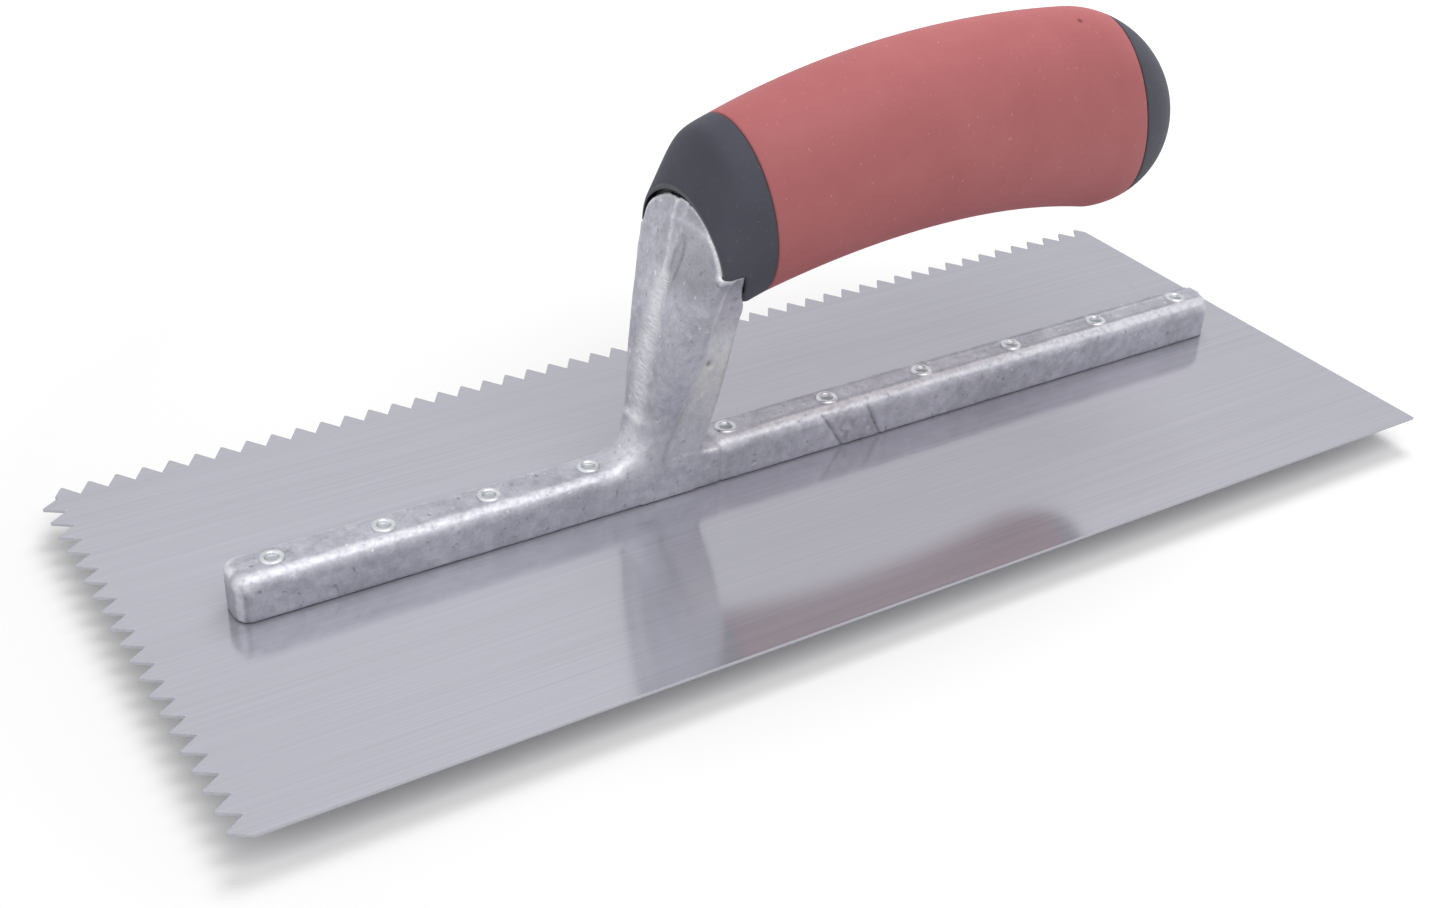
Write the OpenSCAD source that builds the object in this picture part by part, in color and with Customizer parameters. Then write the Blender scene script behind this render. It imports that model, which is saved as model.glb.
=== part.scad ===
// Notched trowel: a steel blade riveted under an aluminium mounting, with a soft handle on the mounting's tang.
// Millimetres. The blade's underside is at Z 0 and its middle at the origin. X runs along the blade, with the
// toothed end at -X and the toothed long edge at +Y. Z is up.

/* [Blade] */
// Length of the sheet
blade_l = 279.4; // [220:0.1:340]
// Width of the sheet
blade_w = 114.3; // [90:0.1:140]
// Thickness of the sheet
blade_t = 0.6; // [0.5:0.05:1.5]
// Distance from one tooth to the next
tooth_pitch = 5.556; // [4:0.001:8]
// Width of the flat tip of a tooth
tooth_land = 0.3; // [0.1:0.05:1]
// Depth of the notches
notch_depth = 3.75; // [2:0.05:6]
// Width of the flat at the bottom of a notch
notch_floor = 0.15; // [0.05:0.05:0.6]
// Plain end of the blade to the middle of the nearest tooth of the long row
long_row_inset = 1.86; // [0.5:0.01:3]
// Plain edge of the blade to the middle of the nearest tooth of the end row
end_row_inset = 2.65; // [0.5:0.01:3]

/* [Rail] */
// Toothed end of the blade to the rail
rail_front_inset = 20.4; // [12:0.1:40]
// Plain end of the blade to the rail
rail_rear_inset = 14.7; // [8:0.1:40]
// Width of the rail
rail_w = 9.5; // [8:0.1:14]
// Height of the rail
rail_h = 9.8; // [7:0.1:14]
// Radius along the rail's upper edges
rail_edge_r = 2.2; // [0.5:0.1:2.4]
// Radius of the rail's upright corners
rail_corner_r = 3; // [1:0.1:3.8]
// Gap between the back of the shank and the rounded start of the rear rail
heel_gap = 1; // [0.6:0.1:3]
// How far the rail is lower inside that gap
heel_step = 1.6; // [0.5:0.1:4]

/* [Rivets] */
// Rivets in front of the shank
front_rivets = 4; // [2:1:6]
// Rivets behind the shank
rear_rivets = 6; // [2:1:8]
// Front end of the rail to the first rivet
front_rivet_inset = 8.6; // [5:0.1:20]
// Rear end of the rail to the last rivet
rear_rivet_inset = 7.3; // [5:0.1:20]
// Edge of the last front rivet to the start of the bend into the shank
rivet_bend_gap = 0.2; // [0.1:0.1:6]
// Back of the shank to the first rear rivet
rivet_heel_gap = 8; // [6:0.1:20]
// Diameter of the rivet's body
rivet_d = 3.2; // [2.5:0.1:4]
// Diameter of the rivet's flush head under the blade
rivet_head_d = 5; // [4.6:0.1:6.5]
// Outer diameter of the rolled ring on the rail
ring_d = 4.45; // [4.2:0.05:5]
// Height of the rolled ring
ring_h = 0.65; // [0.4:0.05:1]
// Diameter of the hole down the rivet
rivet_bore_d = 2.3; // [1:0.1:2.4]
// Depth of that hole below the rail's top
rivet_bore_depth = 3.4; // [1:0.1:6]

/* [Shank] */
// Front of the shank where it meets the rail's top
foot_x = -34.3; // [-44:0.1:-28]
// Depth of the shank from front to back at its foot
shank_depth = 14.7; // [12:0.1:20]
// Depth of the shank from front to back at the handle
shank_top_depth = 16.8; // [13:0.1:20]
// How far the shank's front line bows forward
front_bow = 0.7; // [0:0.1:1.5]
// How far the shank's rear line bows backward
rear_bow = 1.5; // [0:0.1:2.5]
// Squareness of the shank's front at its foot, where 2 is an ellipse
foot_square = 4.5; // [2:0.1:6]
// Squareness of the shank's front at the handle
rim_square = 2.2; // [2:0.1:4]
// Squareness of the shank's arched top
arch_square = 2.5; // [2:0.1:3.5]
// How much the foot of the shank is narrower than the rail
foot_inset = 0.3; // [0.1:0.1:2]
// Radius of the bend from the rail's top into the shank
bend_r = 8.5; // [5:0.1:11]
// Width of the shank's broad front at the handle
rim_w = 30.8; // [24:0.1:31]
// How late the front widens towards the handle
flare_power = 1.25; // [1:0.05:2.5]
// Depth of the broad front at its foot
lobe_foot_depth = 3.6; // [2:0.1:6]
// Depth of the broad front at half height
lobe_depth = 8.4; // [5:0.1:10]
// Slope of the back of the broad front into the web, along X
lobe_back = 2; // [1:0.1:4]
// Width of the web behind the broad front
web_w = 9; // [6:0.1:9.2]
// Width of the web where it meets the handle
heel_w = 31; // [14:0.1:32]
// Height over which the web widens to the handle
heel_flare_h = 15; // [10:0.1:24]
// Bevel on the web's rear corners
web_bevel = 1.2; // [0.4:0.1:2.5]

/* [Tang] */
// Diameter of the tang where it leaves the shank
tang_root_d = 11.5; // [9:0.1:13]
// Diameter of the tang at its end
tang_end_d = 9.5; // [8:0.1:11]
// Length of the tang from the collar's lip
tang_l = 56; // [40:0.5:70]
// Height of the tang above the handle's axis at the lip
tang_w = -3; // [-4:0.1:-1]
// Length of the tang's root inside the shank
tang_root_l = 1.2; // [0.6:0.1:2]
// Gap around the tang in the core
tang_gap = 0.15; // [0.05:0.05:0.5]
// Gap past the end of the tang
tang_end_gap = 1.5; // [0.5:0.1:4]

/* [Handle] */
// Front seam of the grip along X
grip_x = -12.2; // [-18:0.1:-4]
// Height of the handle's axis over the blade at the front seam
grip_h = 60; // [54:0.1:72]
// Rise of the handle's axis towards the rear, in degrees
grip_pitch = 9.5; // [6:0.1:13]
// Length of the grip sleeve along the axis
grip_l = 94.5; // [90:0.1:110]
// Length of the end cap along the axis
cap_l = 16.2; // [12:0.1:22]
// Length of the rounded rear end along the axis
dome_l = 25.3; // [18:0.1:32]
// Fall of the rounded rear end below the axis, in degrees
dome_fall = 15.3; // [5:0.1:22]
// Highest point of the handle over its axis
crown_w = 21.7; // [18:0.1:26]
// Place of the highest point along the axis
crown_u = 28.6; // [20:0.1:36]
// Radius of the handle's top line
crown_r = 233; // [190:1:320]
// Shallowest point of the handle under its axis
belly_w = 17.4; // [15:0.1:22]
// Place of the shallowest point along the axis
belly_u = 17; // [10:0.1:24]
// Radius of the handle's bottom line
belly_r = 172; // [150:1:260]
// Greatest width of the handle
grip_w = 35.4; // [32:0.1:42]
// Place of the greatest width along the axis
flank_u = 42.4; // [30:0.1:54]
// Radius of the handle's side lines
flank_r = 400; // [250:1:600]
// Thickness of the soft collar, sleeve and cap over the core
skin_t = 1.8; // [1.4:0.1:3]
// Gap between the core and the soft pieces
skin_gap = 0.12; // [0.08:0.01:0.3]
// Gap at the seams between the soft pieces
seam_gap = 0.1; // [0.05:0.05:0.5]

/* [Collar] */
// Length of the collar along the axis
collar_l = 12.4; // [10:0.1:16]
// Front seam of the grip to the start of the collar's slope
nose_u = 6; // [4:0.1:8]
// Steepness of the collar's slope, in degrees
nose_fall = 57.7; // [40:0.1:60]
// Softness of the bend into that slope
nose_round = 1.5; // [0.5:0.1:3]
// Widening of the collar towards its lip, in degrees
collar_flare = 1.3; // [0:0.1:3]
// Lean of the collar's lip, in degrees
lip_lean = 4.6; // [0:0.1:8]
// Depth of the hollow inside the lip
lip_hollow = 2; // [1:0.1:3]
// Gap between the lip's inner edge and the top of the shank
lip_gap = 0.6; // [0.4:0.1:2]
// Where the lip ends at the sides, below the handle's axis
lip_end_w = 4.8; // [3:0.1:6]
// Where the collar's lower cut turns down, in front of the seam
cut_u = 7.8; // [6:0.1:10]
// Height of that turn below the handle's axis
cut_w = 6.6; // [5.5:0.1:9]
// Lean of the collar's lower cut, in degrees
cut_lean = 24; // [16:0.1:30]
// Gap between the shank and the handle
seat_gap = 0.2; // [0.05:0.05:0.6]

/* [Screw] */
// Diameter of the handle screw
screw_d = 6; // [4:0.1:7]
// Length of the screw inside the tang
screw_grip = 16; // [8:0.5:24]
// Tip of the handle to the seat under the washer
screw_inset = 19; // [17:0.1:26]
// Diameter of the screw's head
screw_head_d = 10; // [8.5:0.1:11]
// Height of the screw's head
screw_head_h = 6; // [4:0.1:7]
// Width across the flats of the hexagon socket
socket_w = 5; // [3:0.1:6]
// Depth of the socket
socket_depth = 3; // [1.5:0.1:3.5]
// Outer diameter of the washer
washer_d = 12; // [11:0.1:14]
// Thickness of the washer
washer_t = 1.6; // [0.8:0.1:2.5]
// Gap between fitted round pieces, on the radius
fit_gap = 0.05; // [0.02:0.01:0.2]
// Gap around the screw and the washer in the core, on the radius
screw_gap = 0.4; // [0.2:0.05:0.8]

/* [Hidden] */
$fn = 64;
sides = 40;
steps = 20;
dome_steps = 8;
shank_steps = 13;
arch_steps = 6;
lobe_steps = 8;
past = 1;
far = 60;
rivet_count = front_rivets + rear_rivets;
rivet_names = [for (i = [1 : rivet_count]) str("rivet_", i)];

// Places along the rail
rail_x0 = rail_front_inset - blade_l / 2;
rail_x1 = blade_l / 2 - rail_rear_inset;
rail_top = blade_t + rail_h;
heel_x = foot_x + shank_depth;
rear_rail_x0 = heel_x + heel_gap;
web_half = web_w / 2;
ring_r = ring_d / 2;

// Places along the handle's axis, counted from the front seam
lip_u = -collar_l;
tip_u = grip_l + cap_l;
dome_u = tip_u - dome_l;

// The handle's axis: u runs along it to the rear and w is square to it, upwards
grip_z = blade_t + grip_h;
function hx(u, w) = grip_x + u * cos(grip_pitch) - w * sin(grip_pitch);
function hz(u, w) = grip_z + u * sin(grip_pitch) + w * cos(grip_pitch);

// Outlines of the handle along its axis
function sag(r, d) = r - sqrt(r * r - d * d);
function slope_run(u) = (-nose_u - u + sqrt(pow(-nose_u - u, 2) + nose_round * nose_round)) / 2;
function top_at(u) = crown_w - sag(crown_r, u - crown_u) - tan(nose_fall) * slope_run(u);
function bottom_at(u) = -belly_w - sag(belly_r, u - belly_u);
function half_at(u) = grip_w / 2 - sag(flank_r, max(u, 0) - flank_u) - tan(collar_flare) * min(u, 0);
function mid_at(u) = (top_at(min(u, dome_u)) + bottom_at(min(u, dome_u))) / 2
    - tan(dome_fall) * max(0, u - dome_u);
function dome_at(u, inset) = sqrt(max(0, 1 - pow(max(0, u - dome_u) / (dome_l - inset), 2)));

// One ring of points around the handle, set in by a given amount
function ring(u, inset) =
    let (
        d = min(u, dome_u),
        k = dome_at(u, inset),
        a = ((top_at(d) - bottom_at(d)) / 2 - inset) * k,
        b = (half_at(d) - inset) * k
    )
    [for (i = [0 : sides - 1]) [u, b * cos(360 * i / sides), mid_at(u) + a * sin(360 * i / sides)]];
function rings(u0, u1, n, inset) = [for (i = [0 : n]) ring(u0 + (u1 - u0) * i / n, inset)];
function dome_rings(u0, inset) =
    let (a0 = asin(max(0, u0 - dome_u) / (dome_l - inset)))
    [for (i = [0 : dome_steps])
        ring(dome_u + (dome_l - inset) * sin(a0 + (87 - a0) * i / dome_steps), inset)];
function flip(list) = [for (i = [len(list) - 1 : -1 : 0]) list[i]];
function flat(lists) = [for (l = lists) each l];

// The tang's own axis, from the middle of the lip to the tip of the handle
tang_fall = atan((tang_w - mid_at(tip_u)) / (tip_u - lip_u));
axis_l = (tip_u - lip_u) / cos(tang_fall);
screw_seat = axis_l - screw_inset;
screw_tip = tang_l - screw_grip;
core_inset = skin_t + skin_gap;

// The shank between the rail and the lip, by height
rim_z = hz(lip_u, -lip_end_w);
lip_top_u = lip_u + top_at(lip_u) * tan(lip_lean);
arch_w = top_at(lip_top_u) - skin_t - lip_gap;
arch_z = hz(lip_top_u, arch_w);
arch_x = hx(lip_top_u, arch_w) - seat_gap;
shank_h = rim_z - rail_top;
shank_run = (arch_x - foot_x) / (arch_z - rail_top);
shank_lean = atan(shank_run - 4 * front_bow / shank_h);
rear_run = (shank_run * shank_h + shank_top_depth - shank_depth) / shank_h;
function climb(z) = max(0, min(1, (z - rail_top) / shank_h));
function bow(z) = 4 * climb(z) * (1 - climb(z));
function front_at(z) = foot_x + shank_run * (z - rail_top) - front_bow * bow(z);
function rear_at(z) = heel_x + rear_run * (z - rail_top) + rear_bow * bow(z);
function lip_x(z) = hx(lip_u, 0) - (z - hz(lip_u, 0)) * tan(grip_pitch - lip_lean);
rim_depth = lip_x(rim_z) - front_at(rim_z);
function lobe_half(z) = z > rim_z
    ? rim_w / 2 * pow(1 - pow((z - rim_z) / (arch_z - rim_z), arch_square), 1 / arch_square)
    : (rail_w - foot_inset) / 2 + (rim_w - rail_w + foot_inset) / 2 * pow(climb(z), flare_power);
function lobe_run(z) = z > rim_z
    ? lip_x(z) + lip_hollow - front_at(z)
    : lobe_foot_depth + (rim_depth - lobe_foot_depth) * climb(z)
        + (lobe_depth - (lobe_foot_depth + rim_depth) / 2) * sin(180 * climb(z));
function web_grow(z) = (heel_w / 2 - web_half) * pow(max(0, (z - rim_z + heel_flare_h) / heel_flare_h), 2);
function web_half_at(z) = min(web_half + web_grow(z), 0.9 * lobe_half(z));

// One ring of points around the shank
function shank_half(z) =
    let (
        n = foot_square + (rim_square - foot_square) * pow(climb(z), 3),
        w = lobe_half(z),
        d = lobe_run(z),
        xr = front_at(z) + d,
        y = web_half_at(z),
        xs = max(rear_at(z) - (y - web_half) / 2, xr + lobe_back + web_bevel + past)
    )
    concat(
        [for (i = [0 : lobe_steps])
            let (t = 90 * i / lobe_steps)
            [xr - d * pow(cos(t), 2 / n), w * pow(sin(t), 2 / n), z]],
        [
            [xr + lobe_back, y, z],
            [xs - web_bevel, y, z],
            [xs, y - min(web_bevel, y / 2), z],
            [xs + min(web_bevel, y / 2) / 2, 0, z]
        ]
    );
function shank_ring(z) =
    let (h = shank_half(z), n = len(h))
    concat(
        [for (i = [0 : n - 1]) [h[i][0], -h[i][1], z]],
        [for (i = [n - 2 : -1 : 1]) h[i]]
    );
shank_z0 = blade_t + rail_h / 2;
shank_rings = concat(
    [for (i = [0 : shank_steps]) shank_ring(shank_z0 + (rim_z - shank_z0) * i / shank_steps)],
    [for (i = [1 : arch_steps]) shank_ring(rim_z + (arch_z - rim_z) * sin(82 * i / arch_steps))]
);

// Rows of rivets
bend_x = foot_x - bend_r * (1 - sin(shank_lean)) / cos(shank_lean);
front_row_x0 = rail_x0 + front_rivet_inset;
front_row_x1 = bend_x - rivet_bend_gap - ring_r;
rear_row_x0 = heel_x + rivet_heel_gap;
rear_row_x1 = rail_x1 - rear_rivet_inset;
rivet_x = concat(
    [for (i = [0 : front_rivets - 1]) front_row_x0 + (front_row_x1 - front_row_x0) * i / (front_rivets - 1)],
    [for (i = [0 : rear_rivets - 1]) rear_row_x0 + (rear_row_x1 - rear_row_x0) * i / (rear_rivets - 1)]
);

// Rows of teeth
notch_run = (tooth_pitch - tooth_land - notch_floor) / 2;
corner_min = 0.6 * tooth_pitch;
long_teeth = floor((blade_l - long_row_inset - corner_min) / tooth_pitch) + 1;
end_teeth = floor((blade_w - end_row_inset - corner_min) / tooth_pitch) + 1;

// The line between handle and shank: the lip, its end, the turn of the cut, and the cut below the handle
cut_low = belly_w + far / 4;
function seat_line(gap) = [
    [lip_u + far * tan(lip_lean) - gap, far],
    [lip_u - lip_end_w * tan(lip_lean) - gap, -lip_end_w - gap],
    [-cut_u - gap, -cut_w - gap],
    [-cut_u + (cut_low - cut_w) * tan(cut_lean) - gap, -cut_low]
];

// A solid through a row of rings, closed by its first and last ring
module loft(rows) {
    n = len(rows[0]);
    m = len(rows);
    polyhedron(
        points = flat(rows),
        faces = concat(
            [[for (j = [0 : n - 1]) j]],
            [for (i = [0 : m - 2], j = [0 : n - 1]) each side_faces(i, i + 1, j, n)],
            [[for (j = [n - 1 : -1 : 0]) (m - 1) * n + j]]
        )
    );
}

// A solid through a closed loop of rings
module loop_loft(rows) {
    n = len(rows[0]);
    m = len(rows);
    polyhedron(
        points = flat(rows),
        faces = [for (i = [0 : m - 1], j = [0 : n - 1]) each side_faces(i, (i + 1) % m, j, n)]
    );
}

function side_faces(i, k, j, n) = [
    [i * n + j, k * n + j, k * n + (j + 1) % n],
    [i * n + j, k * n + (j + 1) % n, i * n + (j + 1) % n]
];

module at_handle() {
    translate([grip_x, 0, grip_z])
        rotate([0, -grip_pitch, 0])
        children();
}

// Puts a solid drawn along Z on the tang's axis, counted from the lip
module at_tang(s) {
    at_handle()
        translate([lip_u, 0, tang_w])
        rotate([0, 90 + tang_fall, 0])
        translate([0, 0, s])
        children();
}

module across(points) {
    rotate([90, 0, 0])
        linear_extrude(2 * far, center = true)
        polygon(points);
}

// The space in front of the seat line, where the collar and the core are cut away
module front_space() {
    across(concat(seat_line(0), [[-2 * far, -cut_low], [-2 * far, far]]));
}

// The space behind the seat line, where the shank is cut away
module handle_space() {
    across(concat(seat_line(seat_gap), [[2 * far, -cut_low], [2 * far, far]]));
}

module notch() {
    out = notch_depth * past / notch_run;
    polygon([
        [-notch_floor / 2, -notch_depth],
        [notch_floor / 2, -notch_depth],
        [notch_floor / 2 + notch_run + past, out],
        [-notch_floor / 2 - notch_run - past, out]
    ]);
}

module blade_outline() {
    difference() {
        square([blade_l, blade_w], center = true);
        for (i = [0 : long_teeth])
            translate([blade_l / 2 - long_row_inset + tooth_pitch * (0.5 - i), blade_w / 2])
                notch();
        for (i = [0 : end_teeth])
            translate([-blade_l / 2, end_row_inset - blade_w / 2 + tooth_pitch * (i - 0.5)])
                rotate(90)
                notch();
        translate([-blade_l / 2 - past, end_row_inset - blade_w / 2 + tooth_pitch * (end_teeth - 0.5)])
            square([
                blade_l - long_row_inset - tooth_pitch * (long_teeth - 0.5) + past,
                blade_w - end_row_inset - tooth_pitch * (end_teeth - 0.5) + past
            ]);
    }
}

module blade() {
    color("silver")
        difference() {
            linear_extrude(blade_t)
                blade_outline();
            for (x = rivet_x)
                translate([x, 0, 0])
                    rotate_extrude()
                    polygon([
                        [0, -past],
                        [rivet_head_d / 2 + fit_gap, -past],
                        [rivet_head_d / 2 + fit_gap, 0],
                        [rivet_d / 2 + fit_gap, blade_t],
                        [rivet_d / 2 + fit_gap, blade_t + past],
                        [0, blade_t + past]
                    ]);
        }
}

// A bar's end view with two rounded upper corners
module round_top(w, h, r) {
    translate([-w / 2, 0])
        square([w, h - r]);
    translate([r - w / 2, 0])
        square([w - 2 * r, h]);
    for (s = [-1, 1])
        translate([s * (w / 2 - r), h - r])
            circle(r);
}

module round_plan(l, w, r) {
    square([l - 2 * r, w], center = true);
    square([l, w - 2 * r], center = true);
    for (x = [-1, 1], y = [-1, 1])
        translate([x * (l / 2 - r), y * (w / 2 - r)])
            circle(r);
}

module bar(x0, x1) {
    l = x1 - x0;
    translate([(x0 + x1) / 2, 0, blade_t])
        intersection() {
            rotate([90, 0, 90])
                linear_extrude(l + 2 * past, center = true)
                round_top(rail_w, rail_h, rail_edge_r);
            rotate([90, 0, 0])
                linear_extrude(rail_w + 2 * past, center = true)
                round_top(l, rail_h, rail_edge_r);
            linear_extrude(rail_h)
                round_plan(l, rail_w, rail_corner_r);
        }
}

// The rounded bend from the rail's top into the front of the shank
module bend() {
    t = rail_h / 2;
    w = rail_w - foot_inset;
    translate([bend_x, 0, rail_top + bend_r])
        rotate([90, 0, 0])
        rotate([0, 0, -90])
        rotate_extrude(angle = 90 - shank_lean)
        translate([bend_r, 0])
        rotate(90)
        translate([0, -t])
        round_top(w, t, rail_edge_r);
}

module mounting() {
    color("gainsboro")
        difference() {
            union() {
                bar(rail_x0, heel_x);
                bar(rear_rail_x0, rail_x1);
                translate([foot_x, -rail_w / 2, blade_t])
                    cube([shank_depth + heel_gap + rail_corner_r, rail_w, rail_h - heel_step]);
                translate([foot_x + lobe_foot_depth, -rail_w / 2, blade_t])
                    cube([shank_depth - lobe_foot_depth - web_bevel, rail_w, rail_h]);
                bend();
                difference() {
                    loft(shank_rings);
                    at_handle()
                        handle_space();
                }
                at_tang(-tang_root_l)
                    cylinder(h = tang_root_l + tang_l, d1 = tang_root_d, d2 = tang_end_d);
            }
            for (x = rivet_x)
                translate([x, 0, blade_t - past])
                    cylinder(h = rail_h + 2 * past, d = rivet_d + 2 * fit_gap);
            at_tang(screw_tip - tang_end_gap)
                cylinder(h = screw_grip + tang_end_gap + past, d = screw_d + 2 * fit_gap);
        }
}

// One rivet: flush head, body, and the ring that is rolled over the rail
module rivet(i) {
    color("lightsteelblue")
        translate([rivet_x[i], 0, 0])
        rotate_extrude()
        difference() {
            union() {
                polygon([
                    [0, 0],
                    [rivet_head_d / 2, 0],
                    [rivet_d / 2, blade_t],
                    [0, blade_t]
                ]);
                square([rivet_d / 2, rail_top]);
                intersection() {
                    translate([ring_r - ring_h, rail_top])
                        circle(ring_h);
                    translate([0, rail_top])
                        square([ring_d, ring_d]);
                }
            }
            translate([0, rail_top - rivet_bore_depth])
                square([rivet_bore_d / 2, rivet_bore_depth + ring_d]);
        }
}

module handle_core() {
    color("dimgray")
        difference() {
            at_handle()
                difference() {
                    loft(concat(
                        rings(lip_u + lip_hollow, dome_u - past, steps, core_inset),
                        dome_rings(dome_u, core_inset)
                    ));
                    translate([skin_gap, 0, 0])
                        front_space();
                }
            at_tang(-tang_root_l)
                cylinder(
                    h = tang_root_l + tang_l,
                    d1 = tang_root_d + 2 * tang_gap,
                    d2 = tang_end_d + 2 * tang_gap
                );
            at_tang(tang_l - past)
                cylinder(h = tang_end_gap + past, d = tang_end_d + 2 * tang_gap);
            at_tang(tang_l)
                cylinder(h = screw_seat - tang_l + past, d = screw_d + 2 * screw_gap);
            at_tang(screw_seat)
                cylinder(h = far, d = washer_d + 2 * screw_gap);
        }
}

module front_collar() {
    color("darkslategray")
        at_handle()
        difference() {
            loop_loft(concat(
                rings(lip_u - 2 * past, -seam_gap, steps, 0),
                flip(rings(lip_u - 2 * past, -seam_gap, steps, skin_t))
            ));
            front_space();
        }
}

module grip_sleeve() {
    color("indianred")
        at_handle()
        loop_loft(concat(
            rings(0, grip_l, steps, 0),
            flip(rings(0, grip_l, steps, skin_t))
        ));
}

module end_cap() {
    color("darkslategray")
        at_handle()
        loft(concat(
            flip(dome_rings(grip_l + seam_gap, skin_t)),
            dome_rings(grip_l + seam_gap, 0)
        ));
}

module handle_screw() {
    color("lightgray")
        at_tang(0)
        difference() {
            union() {
                translate([0, 0, screw_tip])
                    cylinder(h = screw_seat + washer_t - screw_tip, d = screw_d);
                translate([0, 0, screw_seat + washer_t])
                    cylinder(h = screw_head_h, d = screw_head_d);
            }
            translate([0, 0, screw_seat + washer_t + screw_head_h - socket_depth])
                cylinder(h = socket_depth + past, d = socket_w / cos(30), $fn = 6);
        }
}

module screw_washer() {
    color("lightgray")
        at_tang(screw_seat)
        difference() {
            cylinder(h = washer_t, d = washer_d);
            translate([0, 0, -past])
                cylinder(h = washer_t + 2 * past, d = screw_d + 2 * screw_gap);
        }
}

blade();
mounting();
handle_core();
front_collar();
grip_sleeve();
end_cap();
handle_screw();
screw_washer();
for (i = [0 : rivet_count - 1])
    rivet(i);
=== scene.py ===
"""Looks of a notched trowel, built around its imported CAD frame.

Sizes are in millimetres unless a comment says otherwise. They follow the
part's own construction sizes, a few of them set closer to the photograph.
Everything that reaches Blender is in metres.
"""

import math
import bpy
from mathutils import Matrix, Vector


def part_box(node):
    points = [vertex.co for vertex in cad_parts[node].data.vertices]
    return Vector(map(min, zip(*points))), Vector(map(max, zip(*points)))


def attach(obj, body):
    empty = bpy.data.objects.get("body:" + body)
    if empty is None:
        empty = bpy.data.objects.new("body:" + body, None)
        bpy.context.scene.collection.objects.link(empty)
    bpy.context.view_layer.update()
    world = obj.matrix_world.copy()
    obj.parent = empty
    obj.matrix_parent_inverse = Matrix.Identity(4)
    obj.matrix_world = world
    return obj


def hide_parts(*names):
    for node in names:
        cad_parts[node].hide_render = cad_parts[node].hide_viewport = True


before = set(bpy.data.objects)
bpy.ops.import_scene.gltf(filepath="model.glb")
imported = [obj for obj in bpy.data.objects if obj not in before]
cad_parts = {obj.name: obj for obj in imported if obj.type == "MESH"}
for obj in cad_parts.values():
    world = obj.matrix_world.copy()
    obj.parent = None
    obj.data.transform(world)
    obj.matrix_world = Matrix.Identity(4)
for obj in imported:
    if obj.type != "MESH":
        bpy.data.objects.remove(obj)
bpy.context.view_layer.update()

from types import SimpleNamespace

import bmesh
import bpy
import numpy as np
from mathutils import Euler, Vector, noise

MM = 0.001

# --- sizes of the blade, the casting and the rivets ---------------------------
BLADE_T, BLADE_BEVEL, BLADE_SHARP = 0.6, 0.14, math.radians(50)
RAIL_W, RAIL_TOP = 9.5, 10.4
RAIL_X0, RAIL_X1 = -119.3, 126.6
NEAR_EDGE_R, FAR_EDGE_R = 2.9, 1.6
RAIL_CORNER_R, REAR_CORNER_R, END_CORNER_R = 3.0, 4.4, 4.2
HEEL_GAP, HEEL_STEP, HEEL_RUN = 1.8, 0.9, 4.0
FOOT_X, HEEL_X, BEND_R, FOOT_INSET = -34.3, -19.6, 8.5, 0.3
SHANK_Z0, SHANK_DEPTH, SHANK_TOP_DEPTH = 6.0, 14.7, 16.8
FRONT_BOW, REAR_BOW, TIP_BACK = 1.6, 1.5, 1.5
FOOT_SQUARE, RIM_SQUARE, ARCH_SQUARE = 4.5, 2.2, 1.35
RIM_W, FLARE_POWER = 30.8, 1.15
LOBE_FOOT, LOBE_DEPTH, LOBE_MIN_DEPTH = 3.6, 8.4, 0.6
LOBE_BACK, LOBE_RISE, LOBE_EDGE_R = -0.2, 2.4, 0.8
WEB_W, WEB_SWELL, WEB_TUCK, WEB_RUN = 9.0, 0.22, 1.2, 4.2
WEB_EDGE_R, WEB_FILLET, WEB_TAPER = 1.6, 2.4, 2.3
WEB_SHARE, WEB_OVERLAP = 0.97, 3.5
HEEL_W, HEEL_FLARE = 31.6, 21.0
FAR_SHY, FOOT_FILLET, RAIL_FILLET = 1.0, 2.2, 0.5
TANG_W, TANG_L, TANG_ROOT_L, TANG_ROOT_D, TANG_END_D = -3.0, 56.0, 1.2, 11.5, 9.5
TANG_HOLE_R, TANG_HOLE_AT = 3.1, 38.4
RIVETS, FRONT_RIVETS, RIVET_SIDES = 10, 4, 48
RIVET_D, RIVET_HEAD_D, RIVET_SLACK = 3.2, 5.0, 0.08
RING_R, RING_H = 2.38, 0.56
VOXEL = 0.38

# --- sizes of the handle: u runs along it, w up, t round it -------------------
GRIP_X, GRIP_Z, GRIP_PITCH = -12.2, 60.6, math.radians(9.5)
GRIP_L, TIP_U, DOME_U, DOME_L = 94.5, 110.7, 85.4, 25.3
DOME_FALL = math.radians(15.3)
CROWN_W, CROWN_U, CROWN_R = 21.7, 28.6, 233.0
BELLY_W, BELLY_U, BELLY_R = 17.4, 17.0, 172.0
GRIP_W, FLANK_U, FLANK_R = 35.4, 42.4, 400.0
SKIN, SEAM, SEAM_DEPTH = 1.8, 0.1, 1.2
GRIP_EDGE_R, COLLAR_EDGE_R, HANDLE_SIDES = 0.45, 0.3, 160
LIP_U, NOSE_U, NOSE_ROUND = -12.4, 6.0, 1.5
NOSE_FALL, COLLAR_FLARE = math.radians(57.7), math.radians(1.3)
LIP_LEAN, LIP_END_W = math.radians(4.6), 4.1
LIP_EDGE, LIP_SWELL = 0.4, 1.2
CUT_U, CUT_W, CUT_LEAN = 7.1, 6.2, math.radians(16)
WEB_EDGE_U, WEB_EDGE_LEAN = 7.5, math.radians(22)
LIP_GAP, LIP_HOLLOW, HOLLOW_GAP, SEAT_GAP = 0.6, 2.0, 0.2, 0.12
LIP_SLACK, ARCH_SLACK, LIP_OVERLAP = 0.15, 0.2, 0.3
ARCH_EDGE_R, SEAT_EDGE_R = 0.4, 0.3
BROW, LIP_THINNER = 0.28, 0.3
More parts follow.
